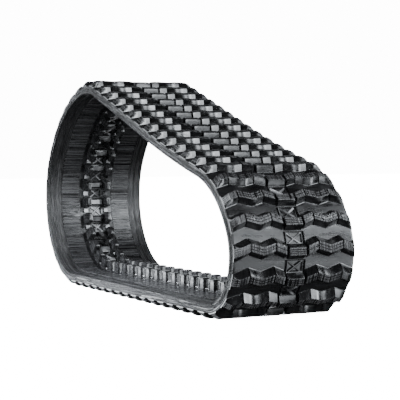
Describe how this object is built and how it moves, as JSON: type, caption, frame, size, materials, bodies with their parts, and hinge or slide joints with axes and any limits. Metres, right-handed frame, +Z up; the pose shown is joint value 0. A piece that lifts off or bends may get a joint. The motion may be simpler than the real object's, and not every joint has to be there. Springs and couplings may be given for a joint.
{
  "type": "rubber track",
  "caption": "Endless rubber track with zigzag tread blocks, steel cores, steel cords and paired guide lugs, standing as a low-nosed loop that sways on its flex lines.",
  "frame": {"origin": "centre of the loop's box on the floor plane, where the tread of the ground run rests", "axes": "+X along the belt towards the low front end, +Y across the belt, +Z up"},
  "size_m": [1.948, 0.458, 0.876],
  "materials": {
    "carcass_rubber": "satin",
    "tread_rubber": "satin",
    "path_rubber": "satin",
    "guide_rubber": "gloss",
    "core_steel": "matte",
    "cord_steel": "satin",
    "ply_fabric": "matte"
  },
  "bodies": {
    "ground_run": {"carcass_ground": "carcass_rubber", "steel_cores_ground": "core_steel", "cord_left_ground": "cord_steel", "cord_right_ground": "cord_steel", "breaker_ply_ground": "ply_fabric", "roller_paths_ground": "path_rubber", "edge_beads_ground": "carcass_rubber", "tread_left_ground": "tread_rubber", "tread_right_ground": "tread_rubber", "centre_blocks_ground": "tread_rubber", "guide_lugs_left_ground": "guide_rubber", "guide_lugs_right_ground": "guide_rubber", "core_pads_ground": "guide_rubber", "side_blocks_ground": "guide_rubber", "window_ribs_ground": "guide_rubber"},
    "front_bend": {"carcass_front": "carcass_rubber", "steel_cores_front": "core_steel", "cord_left_front": "cord_steel", "cord_right_front": "cord_steel", "breaker_ply_front": "ply_fabric", "roller_paths_front": "path_rubber", "edge_beads_front": "carcass_rubber", "tread_left_front": "tread_rubber", "tread_right_front": "tread_rubber", "centre_blocks_front": "tread_rubber", "guide_lugs_left_front": "guide_rubber", "guide_lugs_right_front": "guide_rubber", "core_pads_front": "guide_rubber", "side_blocks_front": "guide_rubber", "window_ribs_front": "guide_rubber"},
    "top_run": {"carcass_top": "carcass_rubber", "steel_cores_top": "core_steel", "cord_left_top": "cord_steel", "cord_right_top": "cord_steel", "breaker_ply_top": "ply_fabric", "roller_paths_top": "path_rubber", "edge_beads_top": "carcass_rubber", "tread_left_top": "tread_rubber", "tread_right_top": "tread_rubber", "centre_blocks_top": "tread_rubber", "guide_lugs_left_top": "guide_rubber", "guide_lugs_right_top": "guide_rubber", "core_pads_top": "guide_rubber", "side_blocks_top": "guide_rubber", "window_ribs_top": "guide_rubber"},
    "rear_bend": {"carcass_rear": "carcass_rubber", "steel_cores_rear": "core_steel", "cord_left_rear": "cord_steel", "cord_right_rear": "cord_steel", "breaker_ply_rear": "ply_fabric", "roller_paths_rear": "path_rubber", "edge_beads_rear": "carcass_rubber", "tread_left_rear": "tread_rubber", "tread_right_rear": "tread_rubber", "centre_blocks_rear": "tread_rubber", "guide_lugs_left_rear": "guide_rubber", "guide_lugs_right_rear": "guide_rubber", "core_pads_rear": "guide_rubber", "side_blocks_rear": "guide_rubber", "window_ribs_rear": "guide_rubber"}
  },
  "joints": [
    {"name": "heel_flex", "type": "hinge", "parent": "ground_run", "child": "rear_bend", "pos_m": [-0.8552, 0, 0.15677], "axis": [0, 1, 0], "range_deg": [-5, 5], "stiffness_Nm_per_rad": 2500},
    {"name": "crown_flex", "type": "hinge", "parent": "rear_bend", "child": "top_run", "pos_m": [-0.92026, 0, 0.4676], "axis": [0, 1, 0], "range_deg": [-5, 5]},
    {"name": "toe_flex", "type": "hinge", "parent": "ground_run", "child": "front_bend", "pos_m": [0.89356, 0, 0.10666], "axis": [0, 1, 0], "range_deg": [-5, 5]}
  ],
  "couplings": [
    {"joint": "crown_flex", "follows": "heel_flex", "ratio": -1},
    {"joint": "toe_flex", "follows": "heel_flex", "ratio": 1}
  ]
}
